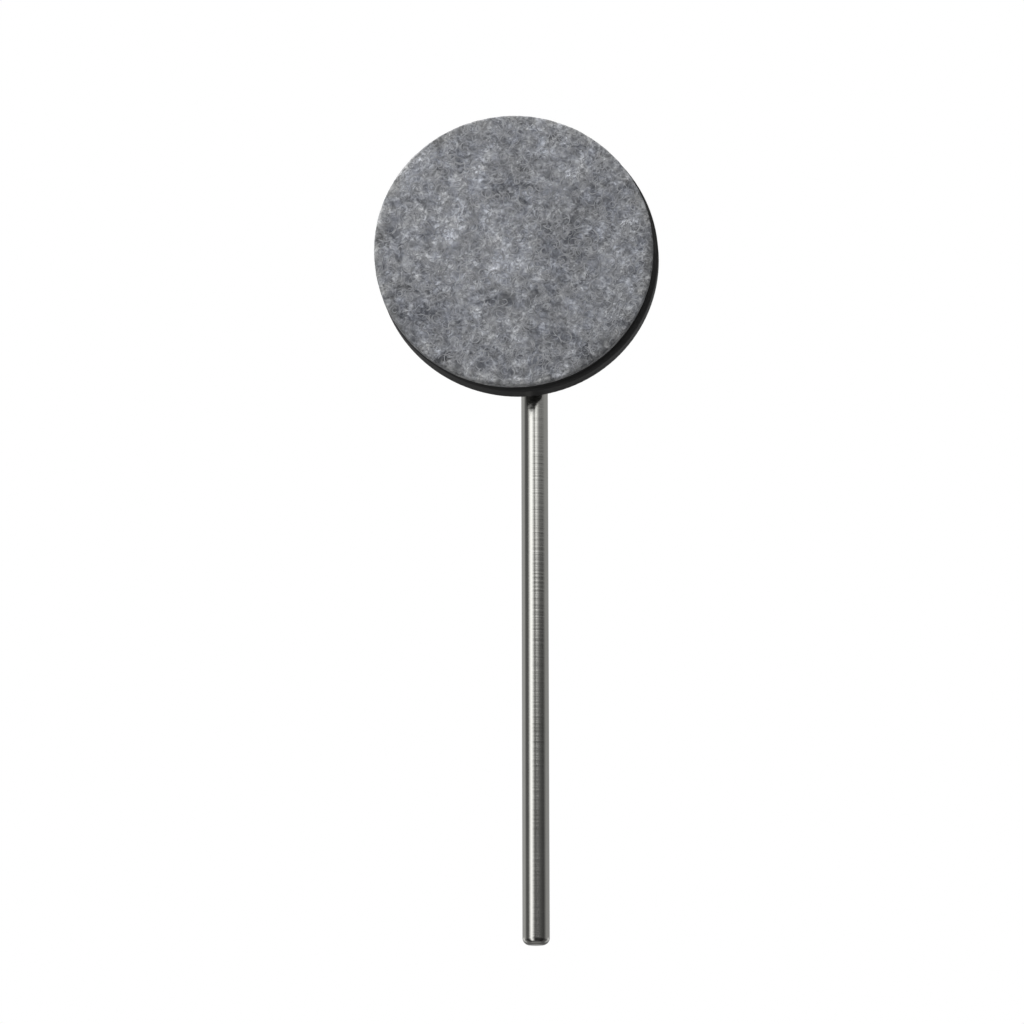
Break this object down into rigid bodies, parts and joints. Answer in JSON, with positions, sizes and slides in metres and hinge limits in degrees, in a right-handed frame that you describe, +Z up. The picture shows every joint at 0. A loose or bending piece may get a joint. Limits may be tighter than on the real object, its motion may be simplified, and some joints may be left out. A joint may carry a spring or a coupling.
{
  "type": "bass drum beater",
  "caption": "Bass drum beater: a wide felt-faced disc head on a ribbed moulded shell, clamped by a metal hub to a straight round steel rod.",
  "frame": {"origin": "on the rod's axis, 25 mm above its lower end, in the middle of where a pedal's clamp grips it", "axes": "+Z up the rod towards the head, -Y out through the felt, +X to the right seen from the drum"},
  "size_m": [0.0852, 0.0299, 0.2472],
  "materials": {
    "rod_steel": "ground and polished",
    "hub_aluminium": "turned, satin",
    "dark_steel": "blackened",
    "black_plastic": "moulded, fine grain",
    "black_rubber": "matt",
    "glue_sheet": "glue film",
    "grey_felt": "pressed wool felt"
  },
  "bodies": {
    "shaft": {"rod": "rod_steel"},
    "head": {"hub": "hub_aluminium", "hub_screws": "dark_steel", "head_shell": "black_plastic", "cushion_adhesive": "glue_sheet", "cushion_disc": "black_rubber", "felt_adhesive": "glue_sheet", "felt_pad": "grey_felt"},
    "clamp": {"set_screw": "dark_steel"}
  },
  "joints": [
    {"name": "head_turn", "type": "hinge", "parent": "shaft", "child": "head", "pos_m": [0, 0, 0.18], "axis": [0, 0, 1], "continuous": true},
    {"name": "set_screw_back_off", "type": "slide", "parent": "head", "child": "clamp", "axis": [0, 1, 0], "range_m": [0, 0.004]}
  ]
}
